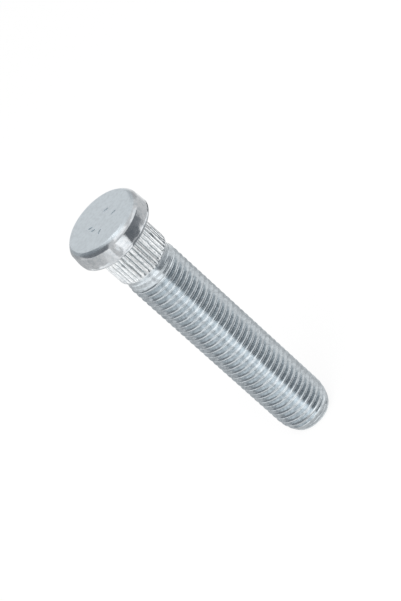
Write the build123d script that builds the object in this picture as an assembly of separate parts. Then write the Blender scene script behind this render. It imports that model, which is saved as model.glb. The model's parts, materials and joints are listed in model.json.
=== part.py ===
from build123d import *
import os

# Wheel stud: one cold-headed steel piece that is pressed through a hub flange from behind.
# It stands on the flat end of its thread with the head at the top, its axis on Z.
# Driving dimensions in millimetres, lengths along the axis and the rest across it.

# Threaded shank, a plain cylinder at the crests of the M12 x 1.5 thread
thread_diameter = 12.0
shank_length = 62.85        # from the seat under the head down to the end of the tip
tip_length = 4.85           # rounded lead-in at the end of the thread
tip_setback = 1.36          # how far the lead-in draws in from the thread's crests
tip_edge_radius = 0.42      # rounding between the lead-in and the flat end

# Relief between the thread and the serrations
neck_depth = 0.43           # below the thread's crests
neck_length = 0.35
neck_ramp_length = 2.6      # slope up from the neck to the crests of the thread
neck_blend_radius = 1.0

# Straight serrations that bite into the hub
serration_rise = 0.22       # how far the lands stand proud of the thread, so that the thread passes the hole
serration_length = 9.35     # from the seat to the end of the taper
serration_taper_length = 1.5
serration_count = 38
groove_width = 0.6          # across the mouth, so that the flanks lean at 45 degrees
groove_depth = 0.3
groove_collar = 0.3         # plain ring left between the grooves and the fillet at the seat
seat_fillet_radius = 0.35   # corner between the seat and the lands

# Round head
seat_width = 2.58           # flat ring and rounded edge outside the serrations
head_thickness = 4.8
head_edge_radius = 0.75     # rounding between the seat and the rim
rim_crown = 0.22            # how far the middle of the rim bulges past its two ends
face_chamfer_width = 1.12   # from the rim in to the flat outer face
face_chamfer_length = 1.16
face_chamfer_bulge = 0.1    # how far its middle stands out from a straight cone

# Radii
thread_radius = thread_diameter / 2
tip_end_radius = thread_radius - tip_setback
neck_radius = thread_radius - neck_depth
land_radius = thread_radius + serration_rise
rim_radius = land_radius + seat_width
face_radius = rim_radius - face_chamfer_width

# Heights above the flat end of the tip
neck_top = shank_length - serration_length
neck_bottom = neck_top - neck_length
thread_top = neck_bottom - neck_ramp_length
land_bottom = neck_top + serration_taper_length
groove_top = shank_length - seat_fillet_radius - groove_collar
head_top = shank_length + head_thickness
rim_top = head_top - face_chamfer_length
rim_middle = (shank_length + rim_top) / 2

# Middle of the bulged chamfer, radius and height
chamfer_slant = (face_chamfer_width**2 + face_chamfer_length**2) ** 0.5
chamfer_radius = (rim_radius + face_radius) / 2 + face_chamfer_bulge * face_chamfer_length / chamfer_slant
chamfer_height = (rim_top + head_top) / 2 + face_chamfer_bulge * face_chamfer_width / chamfer_slant


def corner(face, radius, height):
    return face.vertices().sort_by_distance((radius, height))[0]


def half_section():
    # Right half of the section through the axis, radius across and height up
    outline = Polyline((0, head_top), (0, 0), (tip_end_radius, 0))
    outline += TangentArc((thread_radius, tip_length), (tip_end_radius, 0), tangent=(0, -1))
    outline += Polyline(
        (thread_radius, tip_length),
        (thread_radius, thread_top),
        (neck_radius, neck_bottom),
        (neck_radius, neck_top),
        (land_radius, land_bottom),
        (land_radius, shank_length),
        (rim_radius, shank_length),
    )
    outline += ThreePointArc(
        (rim_radius, shank_length),
        (rim_radius + rim_crown, rim_middle),
        (rim_radius, rim_top),
    )
    outline += ThreePointArc((rim_radius, rim_top), (chamfer_radius, chamfer_height), (face_radius, head_top))
    outline += Line((face_radius, head_top), (0, head_top))
    section = make_face(outline)
    section = fillet(corner(section, tip_end_radius, 0), tip_edge_radius)
    section = fillet(corner(section, thread_radius, thread_top), neck_blend_radius)
    section = fillet(corner(section, neck_radius, neck_top), neck_blend_radius)
    section = fillet(corner(section, land_radius, shank_length), seat_fillet_radius)
    section = fillet(corner(section, rim_radius, shank_length), head_edge_radius)
    return section


def serration_grooves():
    # Straight V grooves between the lands, open through the taper at their lower end,
    # turned half a pitch so that a land lies on the X axis
    mouth = land_radius + groove_depth
    spread = groove_width / 2 * (mouth - land_radius + groove_depth) / groove_depth
    vee = make_face(
        Polyline(
            (land_radius - groove_depth, 0),
            (mouth, spread),
            (mouth, -spread),
            close=True,
        )
    )
    groove = extrude(Plane.XY.offset(neck_top) * vee, groove_top - neck_top)
    half_pitch = 180 / serration_count
    return [turn * groove for turn in PolarLocations(0, serration_count, start_angle=half_pitch)]


stud = revolve(Plane.XZ * half_section(), Axis.Z)
stud -= serration_grooves()

os.makedirs("parts", exist_ok=True)
export_step(stud, "parts/wheel_stud.step")
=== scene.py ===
import bpy
import bmesh
import json
import math
from mathutils import Matrix, Vector, noise


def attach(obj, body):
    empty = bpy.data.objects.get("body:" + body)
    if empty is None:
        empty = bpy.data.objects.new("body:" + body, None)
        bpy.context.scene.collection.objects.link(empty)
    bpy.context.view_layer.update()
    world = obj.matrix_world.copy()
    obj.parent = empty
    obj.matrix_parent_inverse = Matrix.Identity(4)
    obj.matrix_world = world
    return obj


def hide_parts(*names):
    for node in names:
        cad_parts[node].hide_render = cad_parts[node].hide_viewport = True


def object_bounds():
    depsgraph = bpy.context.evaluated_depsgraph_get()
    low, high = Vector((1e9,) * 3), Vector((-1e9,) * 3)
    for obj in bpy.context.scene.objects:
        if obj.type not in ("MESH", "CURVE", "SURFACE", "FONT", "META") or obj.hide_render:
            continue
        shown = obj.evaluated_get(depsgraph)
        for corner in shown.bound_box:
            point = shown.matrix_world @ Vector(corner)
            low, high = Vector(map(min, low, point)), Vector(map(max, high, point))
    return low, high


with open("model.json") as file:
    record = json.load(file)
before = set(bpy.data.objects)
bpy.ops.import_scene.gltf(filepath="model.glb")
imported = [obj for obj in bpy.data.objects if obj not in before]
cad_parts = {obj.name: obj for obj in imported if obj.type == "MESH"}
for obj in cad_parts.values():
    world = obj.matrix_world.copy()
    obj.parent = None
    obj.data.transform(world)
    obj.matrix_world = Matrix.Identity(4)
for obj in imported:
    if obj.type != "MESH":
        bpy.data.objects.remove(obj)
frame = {"nodes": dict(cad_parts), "record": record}
cadLow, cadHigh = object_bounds()
mm = 0.001
mounts = {mount["name"]: mount for mount in frame["record"]["mounts"]}
print("frame loaded:", ", ".join(frame["nodes"]))

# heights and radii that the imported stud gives
studTop = cadHigh.z
seatHeight = mounts["head_underside"]["pos_m"][2]
threadRadius = mounts["thread"]["dims"]["r_mm"] * mm
landRadius = mounts["serrations"]["dims"]["r_mm"] * mm
landLength = mounts["serrations"]["dims"]["length_mm"] * mm
landBottom = mounts["serrations"]["pos_m"][2] - landLength / 2
bulgeRadius = min(cadHigh.x - cadLow.x, cadHigh.y - cadLow.y) / 2      # the rim at its widest


def deselectAll():
    if bpy.context.object and bpy.context.object.mode != "OBJECT":
        bpy.ops.object.mode_set(mode="OBJECT")
    bpy.ops.object.select_all(action="DESELECT")


def selectOnly(piece):
    deselectAll()
    piece.select_set(True)
    bpy.context.view_layer.objects.active = piece


def smoothStep(value):
    value = max(0.0, min(1.0, value))
    return value * value * (3 - 2 * value)


# points (radius, height) on an arc, without its first point
def arcPoints(centre, radius, startDegrees, endDegrees, steps):
    points = []
    for step in range(1, steps + 1):
        angle = math.radians(startDegrees + (endDegrees - startDegrees) * step / steps)
        points.append((centre[0] + radius * math.cos(angle), centre[1] + radius * math.sin(angle)))
    return points


# moves a point of a mesh in or out to a radius
def setRadius(vert, radius):
    scale = radius / vert.co.xy.length
    vert.co = (vert.co.x * scale, vert.co.y * scale, vert.co.z)


# how far in a place on the surface lies, between nothing and nearly the depth
def unevenness(place, grain, depth):
    middle = 0.35
    swing = 0.5
    return depth * max(0.0, middle + swing * noise.noise(place / grain))


# head, serrations and neck, drawn upwards from the top of the thread
neck = {
    "depth": 0.43 * mm,            # below the crests of the thread
    "length": 0.55 * mm,
    "rampLength": 1.2 * mm,        # cone between the neck and the full thread
    "seam": 0.06 * mm,             # strip that joins the thread to the neck
}
serrations = {
    "count": 38,
    "columns": 12,                 # lines of points in each tooth
    "rows": 14,                    # rings of points along the lands
    "taperLength": 1.3 * mm,
    "taperShares": (0.8, 0.6, 0.4, 0.25, 0.12, 0.0),       # its rings of points, measured from the lands
    "runOutLength": 0.5 * mm,      # stretch over which a groove comes up to the taper
    "grooveDepth": 0.29 * mm,
    "landShare": 0.42,             # of the pitch that is land
    "rootRounding": 0.03 * mm,
    "wander": 0.09 * mm,           # how far a groove strays from its place
    "wear": 0.05 * mm,             # how far the lands are uneven
    "stretch": 4,                  # how many times longer that is along a land than across it
    "grain": 1.3 * mm,             # length over which both change
    "collar": 0.3 * mm,            # plain ring above the grooves
    "filletRadius": 0.35 * mm,
    "filletSteps": 4,
}
head = {
    "edgeRadius": 0.75 * mm,
    "rimCrown": 0.22 * mm,         # how far the rim draws in up to the chamfer
    "crownLift": 0.15 * mm,        # from the rounded edge up to where the rim is widest
    "chamferWidth": 1.12 * mm,
    "chamferLength": 1.16 * mm,
    "chamferBulge": 0.1 * mm,
    "creaseRounding": 0.12 * mm,   # between the rim and the chamfer
    "faceRounding": 0.16 * mm,     # between the chamfer and the face
    "arcSteps": 8,
    "rimWave": 0.09 * mm,          # how far the rim is uneven
    "rimGrain": 1.25 * mm,
    "rimFade": 0.5 * mm,           # the rim is even again this close to the chamfer
}
neckRadius = threadRadius - neck["depth"]
neckTop = landBottom - serrations["taperLength"]
neckBottom = neckTop - neck["length"]
collarTop = seatHeight - serrations["filletRadius"]
grooveTop = collarTop - serrations["collar"]
rimRadius = bulgeRadius - head["rimCrown"]
rimTop = studTop - head["chamferLength"]


# radius of the toothed surface: lands with straight V grooves between them, one land on the X axis
def toothRadius(place):
    pitch = math.tau * landRadius / serrations["count"]
    stray = serrations["wander"] * noise.noise(place / serrations["grain"])
    steps = (math.atan2(place.y, place.x) * landRadius + stray) / pitch
    across = 2 * abs(steps - round(steps))       # 0 in the middle of a land, 1 in the middle of a groove
    landShare = serrations["landShare"]
    depth = serrations["grooveDepth"] * max(0.0, across - landShare) / (1 - landShare)
    depth = min(depth, serrations["grooveDepth"] - serrations["rootRounding"])
    depth *= smoothStep((place.z - landBottom) / serrations["runOutLength"] + 0.5)
    drawn = Vector((place.x, place.y, place.z / serrations["stretch"]))
    return landRadius - depth - unevenness(drawn, serrations["grain"], serrations["wear"])


# radius and height along the neck, the taper, the lands and the fillet under the head
def shoulderOutline():
    outline = [(neckRadius, neckTop)]
    taperRise = landRadius - neckRadius
    for share in serrations["taperShares"]:
        outline.append((landRadius - taperRise * share, landBottom - share * serrations["taperLength"]))
    rowsBottom = landBottom + serrations["runOutLength"] / 4
    outline.append((landRadius, rowsBottom))
    for row in range(1, serrations["rows"] + 1):
        outline.append((landRadius, rowsBottom + (grooveTop - rowsBottom) * row / serrations["rows"]))
    outline.append((landRadius, grooveTop + serrations["collar"] / 3))
    outline.append((landRadius, collarTop))
    filletRadius = serrations["filletRadius"]
    filletCentre = (landRadius + filletRadius, collarTop)
    return outline + arcPoints(filletCentre, filletRadius, 180, 90, serrations["filletSteps"])


# radius of the crowned rim at a height
def rimLine(height):
    widest = seatHeight + head["edgeRadius"] + head["crownLift"]
    return bulgeRadius - head["rimCrown"] * ((height - widest) / (rimTop - widest)) ** 2


# radius and height along the rounded edge at the seat, the rim and the bulged chamfer
def headOutline():
    steps = head["arcSteps"]
    edgeTop = seatHeight + head["edgeRadius"]
    edgeCentre = (rimLine(edgeTop) - head["edgeRadius"], edgeTop)
    outline = [(edgeCentre[0], seatHeight)]
    outline += arcPoints(edgeCentre, head["edgeRadius"], -90, 0, steps)
    for step in range(1, steps + 1):
        height = edgeTop + (rimTop - edgeTop) * step / steps
        outline.append((rimLine(height), height))
    slant = math.hypot(head["chamferWidth"], head["chamferLength"])
    for step in range(1, steps + 1):
        share = step / steps
        bulge = head["chamferBulge"] * 4 * share * (1 - share) / slant
        outline.append((
            rimRadius - share * head["chamferWidth"] + bulge * head["chamferLength"],
            rimTop + share * head["chamferLength"] + bulge * head["chamferWidth"],
        ))
    return outline


# bevels the ring of edges at a radius and height
def roundRing(stud, radius, height, width):
    selectOnly(stud)
    bpy.ops.object.mode_set(mode="EDIT")
    bpy.ops.mesh.select_mode(type="EDGE")
    bpy.ops.mesh.select_all(action="DESELECT")
    bm = bmesh.from_edit_mesh(stud.data)
    near = 0.002 * mm
    for edge in bm.edges:
        onRing = [
            abs(vert.co.xy.length - radius) < near and abs(vert.co.z - height) < near for vert in edge.verts
        ]
        edge.select_set(all(onRing))
    bmesh.update_edit_mesh(stud.data)
    bpy.ops.mesh.bevel(offset=width, segments=3, profile=0.5)
    bpy.ops.object.mode_set(mode="OBJECT")


def makeHead():
    deselectAll()
    bpy.ops.mesh.primitive_circle_add(
        vertices=serrations["count"] * serrations["columns"],
        radius=neckRadius, fill_type="NOTHING", location=(0, 0, neckBottom),
    )
    stud = bpy.context.object
    stud.name = "wheelStud"
    bpy.ops.object.transform_apply(location=True, rotation=True, scale=True)
    bpy.ops.object.mode_set(mode="EDIT")
    bpy.ops.mesh.select_mode(type="VERT")
    bpy.ops.mesh.select_all(action="SELECT")

    # each ring of points is drawn out of the one below it, and the face closes the last
    lastRadius = neckRadius
    lastHeight = neckBottom
    for radius, height in shoulderOutline() + headOutline():
        bpy.ops.mesh.extrude_edges_move(TRANSFORM_OT_translate={"value": (0, 0, height - lastHeight)})
        scale = radius / lastRadius
        bpy.ops.transform.resize(value=(scale, scale, 1), center_override=(0, 0, height))
        lastRadius = radius
        lastHeight = height
    bpy.ops.mesh.edge_face_add()
    bpy.ops.object.mode_set(mode="OBJECT")

    # soften the two edges of the chamfer
    roundRing(stud, rimRadius, rimTop, head["creaseRounding"])
    roundRing(stud, rimRadius - head["chamferWidth"], studTop, head["faceRounding"])

    # the grooves are pressed into the lands, and the rim is left a little uneven
    near = 0.01 * mm
    for vert in stud.data.vertices:
        radius = vert.co.xy.length
        if neckTop + near < vert.co.z < grooveTop + near:
            setRadius(vert, min(radius, toothRadius(vert.co)))
        elif seatHeight + near < vert.co.z < studTop - near:
            wave = head["rimWave"] * smoothStep((rimTop - vert.co.z) / head["rimFade"])
            setRadius(vert, radius - unevenness(vert.co, head["rimGrain"], wave))
    print("head and serrations:", len(stud.data.polygons), "faces")
    return stud


# threaded shank with its rounded tip
thread = {
    "pitch": 1.5 * mm,
    "lift": -0.476 * mm,           # shifts the helix along the axis
    "spareTurns": 3,               # past the two ends, where they are pressed flat
    "rootDepth": 0.92 * mm,
    "rootRadius": 0.2165 * mm,     # rounding at the bottom of the groove
    "rootSteps": 2,                # lines of points on half of that rounding
    "flankAngle": math.radians(30),
    "flankShares": (0.45, 0.82),   # lines of points up a flank
    "crestDrop": 0.027 * mm,       # how far the edges of a crest lie below its middle
    "stepsPerTurn": 144,
    "runOutLength": 1.3 * mm,      # stretch over which the groove fills up
    "runOutGap": 0.6 * mm,         # from there to the neck
}
tip = {
    "length": 4.85 * mm,
    "setback": 1.36 * mm,          # how far it draws in from the crests
    "edgeRadius": 0.42 * mm,       # rounding at the flat end
    "edgeReach": 0.575,            # share of that radius by which the flat end is smaller
}


# radius of the rounded tip at a height, which the crests don't pass
def tipLine(height):
    reach = threadRadius
    if height < tip["length"]:
        sweep = (tip["length"] ** 2 + tip["setback"] ** 2) / (2 * tip["setback"])
        reach = threadRadius - sweep + math.sqrt(sweep ** 2 - (tip["length"] - height) ** 2)
    if height < tip["edgeRadius"]:
        flat = threadRadius - tip["setback"] - tip["edgeReach"] * tip["edgeRadius"]
        curve = math.sqrt(tip["edgeRadius"] ** 2 - (tip["edgeRadius"] - height) ** 2)
        reach = min(reach, flat + curve)
    return reach


# radii of the groove's bottom and of the crests, which run together at the neck
def threadLines(height):
    runOutTop = neckBottom - thread["runOutGap"]
    fill = smoothStep((height - runOutTop + thread["runOutLength"]) / thread["runOutLength"])
    rampBottom = neckBottom - neck["rampLength"]
    ramp = max(0.0, (height - rampBottom) / neck["rampLength"])
    root = threadRadius - thread["rootDepth"]
    crest = threadRadius - neck["depth"] * ramp
    return root + (crest - root) * fill, crest


# one pitch of the thread's outline, from the middle of one groove to the next
def threadOutline():
    pitch = thread["pitch"]
    rootCentre = threadRadius - thread["rootDepth"] + thread["rootRadius"]
    lastTurn = math.pi / 2 - thread["flankAngle"]       # where the rounding meets the flank
    half = []
    for step in range(thread["rootSteps"] + 1):
        turn = lastTurn * step / thread["rootSteps"]
        half.append((
            rootCentre - thread["rootRadius"] * math.cos(turn),
            thread["rootRadius"] * math.sin(turn),
        ))
    flankStart = half[-1]
    flankRise = threadRadius - flankStart[0]
    slope = 1 / math.tan(thread["flankAngle"])
    for share in thread["flankShares"]:
        rise = flankRise * share
        half.append((flankStart[0] + rise, flankStart[1] + rise / slope))
    half.append((threadRadius - thread["crestDrop"], flankStart[1] + flankRise / slope))
    half.append((threadRadius, pitch / 2))
    mirrored = [(radius, pitch - height) for radius, height in reversed(half[:-1])]
    return half + mirrored


# a single point drawn out along an outline of (radius, height) at y = 0, left in edit mode
def drawOutline(name, outline):
    deselectAll()
    bpy.ops.mesh.primitive_plane_add(size=mm, location=(outline[0][0], 0, outline[0][1]))
    drawn = bpy.context.object
    drawn.name = name
    bpy.ops.object.transform_apply(location=True, rotation=True, scale=True)
    bpy.ops.object.mode_set(mode="EDIT")
    bpy.ops.mesh.select_mode(type="VERT")
    bpy.ops.mesh.select_all(action="SELECT")
    bpy.ops.mesh.merge(type="CENTER")
    for here, there in zip(outline, outline[1:]):
        step = (there[0] - here[0], 0, there[1] - here[1])
        bpy.ops.mesh.extrude_vertices_move(TRANSFORM_OT_translate={"value": step})
    return drawn


def mergePoints(piece):
    selectOnly(piece)
    bpy.ops.object.mode_set(mode="EDIT")
    bpy.ops.mesh.select_all(action="SELECT")
    bpy.ops.mesh.remove_doubles(threshold=0.001 * mm)
    bpy.ops.mesh.dissolve_degenerate(threshold=0.0002 * mm)
    bpy.ops.object.mode_set(mode="OBJECT")


def makeThread():
    turns = math.ceil(neckBottom / thread["pitch"]) + thread["spareTurns"]
    start = thread["lift"] - thread["spareTurns"] / 2 * thread["pitch"]
    rod = drawOutline("threadRod", [(radius, start + height) for radius, height in threadOutline()])
    bpy.ops.object.mode_set(mode="OBJECT")

    screw = rod.modifiers.new("Screw", "SCREW")
    screw.axis = "Z"
    screw.angle = math.tau
    screw.screw_offset = thread["pitch"]
    screw.steps = thread["stepsPerTurn"]
    screw.render_steps = thread["stepsPerTurn"]
    screw.iterations = turns
    bpy.ops.object.modifier_apply(modifier=screw.name)
    mergePoints(rod)

    # the crests are drawn in to the rounded tip, and the groove fills up to the neck
    top = neckBottom - neck["seam"]
    for vert in rod.data.vertices:
        height = vert.co.z
        if height > top - neck["seam"]:
            height = top
        elif height < neck["seam"]:
            height = 0.0
        root, crest = threadLines(height)
        share = 1 - (threadRadius - vert.co.xy.length) / thread["rootDepth"]
        setRadius(vert, min(root + (crest - root) * share, tipLine(height)))
        vert.co.z = height
    mergePoints(rod)
    print("thread:", len(rod.data.polygons), "faces in", turns, "turns")
    return rod


# selects the open edges between two heights
def selectOpenEdges(piece, low, high):
    bpy.ops.mesh.select_mode(type="EDGE")
    bpy.ops.mesh.select_all(action="DESELECT")
    bm = bmesh.from_edit_mesh(piece.data)
    for edge in bm.edges:
        inside = all(low <= vert.co.z <= high for vert in edge.verts)
        edge.select_set(edge.is_boundary and inside)
    bmesh.update_edit_mesh(piece.data)


# bridges the thread to the neck and closes the end of the tip
def joinStud(stud, rod):
    selectOnly(stud)
    rod.select_set(True)
    bpy.ops.object.join()
    bpy.ops.object.mode_set(mode="EDIT")
    near = 0.01 * mm
    selectOpenEdges(stud, neckBottom - neck["seam"] - near, neckBottom + near)
    bpy.ops.mesh.bridge_edge_loops()
    selectOpenEdges(stud, -near, near)
    bpy.ops.mesh.edge_face_add()
    bpy.ops.mesh.select_all(action="SELECT")
    bpy.ops.mesh.normals_make_consistent(inside=False)
    bpy.ops.object.mode_set(mode="OBJECT")
    print("stud joined:", len(stud.data.polygons), "faces")


# plain strokes struck into the face: place on the face in mm, and how far each is turned in degrees
strokes = {
    "places": ((2.4, 1.0, 70), (2.9, -2.0, 80), (-2.4, 0.8, 54), (-2.4, -0.6, 54), (-1.7, -2.9, 120)),
    "length": 1.4 * mm,
    "width": 0.5 * mm,
    "depth": 0.35 * mm,
}


# cuts the strokes out of the face, each a stretched ball sunk halfway; they mustn't overlap
def strikeStrokes(stud):
    deselectAll()
    punches = []
    for across, along, turn in strokes["places"]:
        bpy.ops.mesh.primitive_uv_sphere_add(
            segments=24, ring_count=12, radius=1, location=(across * mm, along * mm, studTop),
            rotation=(0, 0, math.radians(turn)),
            scale=(strokes["width"] / 2, strokes["length"] / 2, strokes["depth"]),
        )
        punches.append(bpy.context.object)
    for punch in punches:
        punch.select_set(True)
    bpy.ops.object.join()
    cut = stud.modifiers.new("Strokes", "BOOLEAN")
    cut.operation = "DIFFERENCE"
    cut.solver = "EXACT"
    cut.object = punches[-1]
    selectOnly(stud)
    bpy.ops.object.modifier_apply(modifier=cut.name)
    bpy.data.objects.remove(punches[-1])
    bpy.ops.object.shade_smooth_by_angle(angle=math.radians(32))
    print("strokes struck:", len(strokes["places"]))


stud = makeHead()
joinStud(stud, makeThread())
strikeStrokes(stud)


# a socket of a shader: an expression on sockets adds its Math nodes, and node adds any other
class Wire:
    def __init__(self, tree, socket=None):
        self.tree = tree
        self.socket = socket

    def node(self, kind, settings, sockets, output=0):
        made = self.tree.nodes.new("ShaderNode" + kind)
        for name, value in settings.items():
            setattr(made, name, value)
        for name, value in sockets.items():
            if isinstance(value, Wire):
                self.tree.links.new(value.socket, made.inputs[name])
            else:
                made.inputs[name].default_value = value
        return Wire(self.tree, made.outputs[output] if len(made.outputs) else None)

    def maths(self, operation, first, second):
        return self.node("Math", {"operation": operation}, {0: first, 1: second})

    def __add__(self, other):
        return self.maths("ADD", self, other)

    def __radd__(self, other):
        return self.maths("ADD", other, self)

    def __sub__(self, other):
        return self.maths("SUBTRACT", self, other)

    def __rsub__(self, other):
        return self.maths("SUBTRACT", other, self)

    def __mul__(self, other):
        return self.maths("MULTIPLY", self, other)

    def __rmul__(self, other):
        return self.maths("MULTIPLY", other, self)

    def __truediv__(self, other):
        return self.maths("DIVIDE", self, other)

    def __rtruediv__(self, other):
        return self.maths("DIVIDE", other, self)

    # from 0 to 1 while the value goes from low to high
    def ramp(self, low, high):
        sockets = {"Value": self, "From Min": low, "From Max": high}
        return self.node("MapRange", {"interpolation_type": "SMOOTHSTEP"}, sockets)

    # the Mix node's sockets for colours go by number, as their names repeat
    def mix(self, share, first, second):
        return self.node("Mix", {"data_type": "RGBA"}, {0: share, 6: first, 7: second}, 2)

    def noise(self, place, grain, detail):
        return self.node("TexNoise", {}, {"Vector": place, "Scale": 1 / grain, "Detail": detail})


# an empty shader to start from
def newShader(owner):
    owner.use_nodes = True
    owner.node_tree.nodes.clear()
    return Wire(owner.node_tree)


zinc = {
    "threadColor": (0.7, 0.755, 0.79, 1),
    "serrationColor": (0.82, 0.84, 0.85, 1),
    "valleyColor": (0.45, 0.49, 0.5, 1),     # painted shade in the grooves between the lands
    "valleyShare": 0.35,                     # of a groove's depth at which that painted shade begins
    "rimColor": (0.64, 0.66, 0.68, 1),
    "faceColor": (0.662, 0.725, 0.768, 1),
    "dullColor": (0.46, 0.5, 0.53, 1),       # cloudy patches in the plating
    "dullShare": 0.75,
    "faceDullShare": 0.33,
    "patchGrain": 0.7 * mm,
    "patchRange": (0.35, 0.75),              # of the noise, from clear plating to a full patch
    "threadRoughness": 0.2,
    "shoulderRoughness": 0.15,
    "faceRoughness": 0.3,
    "bumpGrain": 0.35 * mm,
    "bumpHeight": 0.006 * mm,
    # heights over which one look gives way to the next
    "shoulderBlend": (landBottom - 0.3 * mm, landBottom + 0.1 * mm),
    "landBlend": (landBottom, landBottom + serrations["runOutLength"]),
    "rimBlend": (seatHeight - 0.1 * mm, seatHeight),
    "faceBlend": (studTop - 0.7 * mm, studTop - 0.3 * mm),
}


def makeFinish():
    finish = bpy.data.materials.new("zincPlate")
    shader = newShader(finish)
    place = shader.node("TexCoord", {}, {}, "Object")
    height = shader.node("SeparateXYZ", {}, {"Vector": place}, "Z")
    onShoulder = height.ramp(*zinc["shoulderBlend"])
    onLands = height.ramp(*zinc["landBlend"])
    onRim = height.ramp(*zinc["rimBlend"])
    onFace = height.ramp(*zinc["faceBlend"])

    # from the thread up to the face, with painted shade darkening the grooves between the lands
    level = shader.node("VectorMath", {"operation": "MULTIPLY"}, {0: place, 1: (1, 1, 0)})
    radius = shader.node("VectorMath", {"operation": "LENGTH"}, {0: level}, "Value")
    grooveDepth = serrations["grooveDepth"]
    inValleyShade = 1 - radius.ramp(landRadius - grooveDepth, landRadius - zinc["valleyShare"] * grooveDepth)
    color = shader.mix(onShoulder, zinc["threadColor"], zinc["serrationColor"])
    # painted shade: the grooves' colour is mixed darker towards their bottoms
    color = shader.mix(inValleyShade * onLands, color, zinc["valleyColor"])
    color = shader.mix(onRim, color, zinc["rimColor"])
    color = shader.mix(onFace, color, zinc["faceColor"])

    # cloudy patches all over
    patches = shader.noise(place, zinc["patchGrain"], detail=3.0).ramp(*zinc["patchRange"])
    dullShare = zinc["dullShare"] + onFace * (zinc["faceDullShare"] - zinc["dullShare"])
    color = shader.mix(patches * dullShare, color, zinc["dullColor"])

    roughness = (
        zinc["threadRoughness"]
        + onShoulder * (zinc["shoulderRoughness"] - zinc["threadRoughness"])
        + onFace * (zinc["faceRoughness"] - zinc["shoulderRoughness"])
    )
    grain = shader.noise(place, zinc["bumpGrain"], detail=2.0)
    bump = shader.node("Bump", {}, {"Strength": 1.0, "Distance": zinc["bumpHeight"], "Height": grain})
    metal = shader.node("BsdfPrincipled", {}, {
        "Base Color": color,
        "Metallic": 1.0,
        "Roughness": roughness,
        "Normal": bump,
    })
    shader.node("OutputMaterial", {}, {"Surface": metal})
    return finish


stud.data.materials.clear()
stud.data.materials.append(makeFinish())
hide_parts("wheel_stud")
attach(stud, "root")
print("finish:", stud.data.materials[0].name)

# camera at the photograph's angle
view = {
    "azimuth": math.radians(-2.8),
    "elevation": math.radians(31.5),
    "roll": math.radians(42.06),
    "distance": 491.2 * mm,
    "pixelsPerMm": 4.9463,          # at the point that is aimed at
    "aimBelowFace": 33 * mm,
    "aimPixel": (206.57, 317.23),
    "frameWidth": 401,
    "frameHeight": 601,
    "sensorWidth": 36.0,
}


def makeCamera():
    rise = view["elevation"]
    roll = view["roll"]
    axis = Vector((0, 0, -1))       # from the head to the tip
    side = Vector((math.sin(view["azimuth"]), -math.cos(view["azimuth"]), 0))      # level, to the camera
    back = side * math.cos(rise) - axis * math.sin(rise)
    along = axis * math.cos(rise) + side * math.sin(rise)
    across = along.cross(back)
    right = along * math.cos(roll) - across * math.sin(roll)
    up = -along * math.sin(roll) - across * math.cos(roll)
    data = bpy.data.cameras.new("photoCamera")
    camera = bpy.data.objects.new("photoCamera", data)
    bpy.context.scene.collection.objects.link(camera)
    focalPixels = view["pixelsPerMm"] / mm * view["distance"]
    data.sensor_width = view["sensorWidth"]
    data.lens = focalPixels * data.sensor_width / view["frameHeight"]
    data.shift_x = -(view["aimPixel"][0] - view["frameWidth"] / 2) / view["frameHeight"]
    data.shift_y = (view["aimPixel"][1] - view["frameHeight"] / 2) / view["frameHeight"]
    data.clip_start = 10 * mm
    aim = Vector((0, 0, studTop - view["aimBelowFace"]))
    place = Matrix((right, up, back)).transposed().to_4x4()
    place.translation = aim + back * view["distance"]
    camera.matrix_world = place
    bpy.context.scene.camera = camera
    print("camera lens", round(data.lens, 1))


makeCamera()

# studio: a white floor and surround, a soft lamp, and cards that the metal mirrors
studio = {
    "floorSize": 3.0,
    "floorTone": 0.85,
    "floorRoughness": 0.8,
    "shadowShare": 0.12,           # how much of the lit paper shows through the white
    "ambientTone": 0.8,
    "lampPlace": (-0.1, -0.3, 0.7),
    "lampAim": (0, 0, 0.03),
    "lampSize": 0.5,
    "lampPower": 4,
    "cardSteps": 16,
    "darkTint": (0.9, 1.0, 1.12),  # of a black card, since dark card is bluish
    "greyFrom": 0.6,               # tone from which a card has no tint
}
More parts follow.
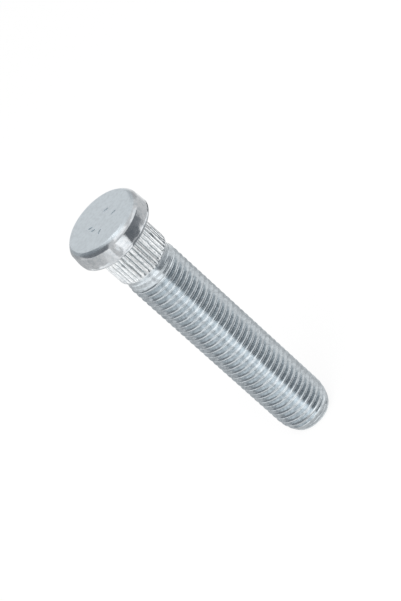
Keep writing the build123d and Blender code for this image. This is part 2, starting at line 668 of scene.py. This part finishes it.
# each card's outline as distance from the axis and height in mm, its azimuths right of the camera
# from and to in degrees, and its tones at those two ends
cards = {
    "tent": (((900, 0.5), (900, 600), (500, 900), (2, 950)), (-180, 180), (0.8, 0.8)),
    "nearMat": (((5, 0.5), (12.5, 0.5)), (-160, 160), (0.62, 0.62)),
    "rightMat": (((12.5, 0.7), (20, 0.7)), (42, 160), (0.6, 0.6)),
    "leftMat": (((12.5, 0.7), (20, 0.7)), (-160, -42), (0.65, 0.65)),
    "frontSheet": (((12.5, 0.5), (260, 0.5), (260, 75)), (-17, 8), (1.45, 1.45)),
    "frontMiddle": (((96, 0.6), (118, 0.6)), (-17, 8), (0.88, 0.88)),
    "nearFlag": (((12.5, 0.5), (96, 0.5)), (11, 66), (0.2, 0.36)),
    "middleGlow": (((96, 0.5), (118, 0.5)), (12, 45), (0.64, 0.74)),
    "farFlag": (((118, 0.5), (135, 0.5)), (12, 50), (0.16, 0.25)),
    "outerFlag": (((135, 0.5), (150, 0.5)), (12, 62), (0.16, 0.25)),
    "lowFlag": (((150, 0.5), (150, 18)), (12, 73), (0.16, 0.28)),
    "tallFlag": (((150, 18), (150, 66)), (12, 84), (0.16, 0.3)),
    "nearGrey": (((12.5, 0.5), (96, 0.5)), (66, 150), (0.42, 0.68)),
    "middleSheet": (((96, 0.6), (118, 0.6)), (45, 114), (1.4, 1.4)),
    "middleShade": (((96, 0.5), (118, 0.5)), (114, 170), (0.12, 0.08)),
    "farGrey": (((118, 0.5), (135, 0.5)), (50, 150), (0.62, 0.8)),
    "outerGrey": (((135, 0.5), (150, 0.5)), (62, 150), (0.64, 0.8)),
    "lowGrey": (((150, 0.5), (150, 18)), (73, 150), (0.68, 0.8)),
    "tallGrey": (((150, 18), (150, 66)), (84, 150), (0.72, 0.8)),
    "leftPanel": (((12.5, 0.5), (118, 0.5)), (-108, -36), (1.1, 1.0)),
    "middleLeft": (((96, 0.6), (118, 0.6)), (-135, -60), (1.3, 1.35)),
    "leftGap": (((101, 0.5), (260, 0.5), (260, 75)), (-34, -18), (0.7, 0.7)),
    "leftGlow": (((101, 0.6), (150, 0.6), (150, 66)), (-54, -35), (0.9, 1.3)),
    "leftFar": (((118, 0.5), (150, 0.5), (150, 66)), (-108, -54), (0.6, 0.8)),
    "upperFlag": (((260, 150), (230, 270), (150, 320)), (-128, -36), (0.25, 0.25)),
    "topPanel": (((230, 260), (130, 330), (38, 350)), (-14, 40), (1.35, 1.35)),
    "zenithPanel": (((2, 350), (38, 350)), (-170, 170), (2.6, 2.6)),
    "leftTop": (((38, 350), (130, 340)), (-170, -20), (1.05, 1.05)),
    "rightPanel": (((300, 110), (300, 270)), (48, 92), (1.2, 1.2)),
    "greyMat": (((12.5, 0.5), (150, 0.5), (150, 66)), (-165, -108), (0.5, 0.7)),
    "leftBack": (((300, 60), (300, 230)), (-155, -122), (0.45, 0.55)),
    "rightBack": (((300, 60), (300, 230)), (122, 155), (0.6, 0.5)),
}


# 1 for what the camera, the metal's reflections and clear things show
def seenShare(shader):
    path = shader.node("LightPath", {}, {}).socket.node
    share = Wire(shader.tree, path.outputs["Is Camera Ray"])
    for kind in ("Is Glossy Ray", "Is Transmission Ray"):
        share = shader.maths("MAXIMUM", share, Wire(shader.tree, path.outputs[kind]))
    return share


def makeFloor():
    deselectAll()
    bpy.ops.mesh.primitive_plane_add(size=studio["floorSize"], location=(0, 0, 0))
    floor = bpy.context.object
    floor.name = "floor"
    paper = bpy.data.materials.new("paper")
    shader = newShader(paper)
    lit = shader.node("BsdfPrincipled", {}, {
        "Base Color": (studio["floorTone"],) * 3 + (1,),
        "Roughness": studio["floorRoughness"],
    })
    white = shader.node("Emission", {}, {})
    whiteShare = seenShare(shader) * (1 - studio["shadowShare"])
    shown = shader.node("MixShader", {}, {0: whiteShare, 1: lit, 2: white})
    shader.node("OutputMaterial", {}, {"Surface": shown})
    floor.data.materials.append(paper)


# pale cards are grey, and the darker a card the bluer it is
def cardColor(tone):
    blueness = max(0.0, 1 - tone / studio["greyFrom"])
    return tuple(tone * (1 + (tint - 1) * blueness) for tint in studio["darkTint"]) + (1,)


# a card is its outline spun about the stud's axis; only mirrored rays see it
def makeCard(name, outline, azimuths, tones):
    card = drawOutline(name, [(distance * mm, height * mm) for distance, height in outline])
    bpy.ops.mesh.select_all(action="SELECT")
    sweep = math.radians(azimuths[1] - azimuths[0])
    bpy.ops.mesh.spin(steps=studio["cardSteps"], angle=sweep, center=(0, 0, 0), axis=(0, 0, 1))
    bpy.ops.object.mode_set(mode="OBJECT")
    turn = view["azimuth"] + math.radians(azimuths[1] - 90)      # spin goes clockwise from here
    card.data.transform(Matrix.Rotation(turn, 4, "Z"))
    card.visible_camera = False
    card.visible_diffuse = False
    card.visible_shadow = False

    # its tone goes evenly from one end to the other
    glow = bpy.data.materials.new(name)
    shader = newShader(glow)
    place = shader.node("TexCoord", {}, {}, "Object")
    across = shader.node("SeparateXYZ", {}, {"Vector": place}, "X")
    away = shader.node("SeparateXYZ", {}, {"Vector": place}, "Y")
    azimuth = shader.maths("ARCTAN2", across, 0 - away) - view["azimuth"]
    share = (azimuth - math.radians(azimuths[0])) / sweep
    color = shader.mix(share, cardColor(tones[0]), cardColor(tones[1]))
    light = shader.node("Emission", {}, {"Color": color})
    shader.node("OutputMaterial", {}, {"Surface": light})
    card.data.materials.append(glow)


def makeSurround():
    world = bpy.context.scene.world or bpy.data.worlds.new("surround")
    bpy.context.scene.world = world
    shader = newShader(world)
    ambient = shader.node("Background", {}, {"Color": (1, 1, 1, 1), "Strength": studio["ambientTone"]})
    white = shader.node("Background", {}, {"Color": (1, 1, 1, 1)})
    shown = shader.node("MixShader", {}, {0: seenShare(shader), 1: ambient, 2: white})
    shader.node("OutputWorld", {}, {"Surface": shown})


def makeLamp():
    bpy.ops.object.light_add(type="AREA", location=studio["lampPlace"])
    lamp = bpy.context.object
    lamp.data.energy = studio["lampPower"]
    lamp.data.size = studio["lampSize"]
    lamp.visible_glossy = False
    lamp.rotation_mode = "QUATERNION"
    lamp.rotation_quaternion = (lamp.location - Vector(studio["lampAim"])).to_track_quat("Z", "Y")


makeFloor()
for name, (outline, azimuths, tones) in cards.items():
    makeCard(name, outline, azimuths, tones)
makeSurround()
makeLamp()
print("studio:", len(cards), "cards")

bpy.context.scene.view_settings.view_transform = "Standard"
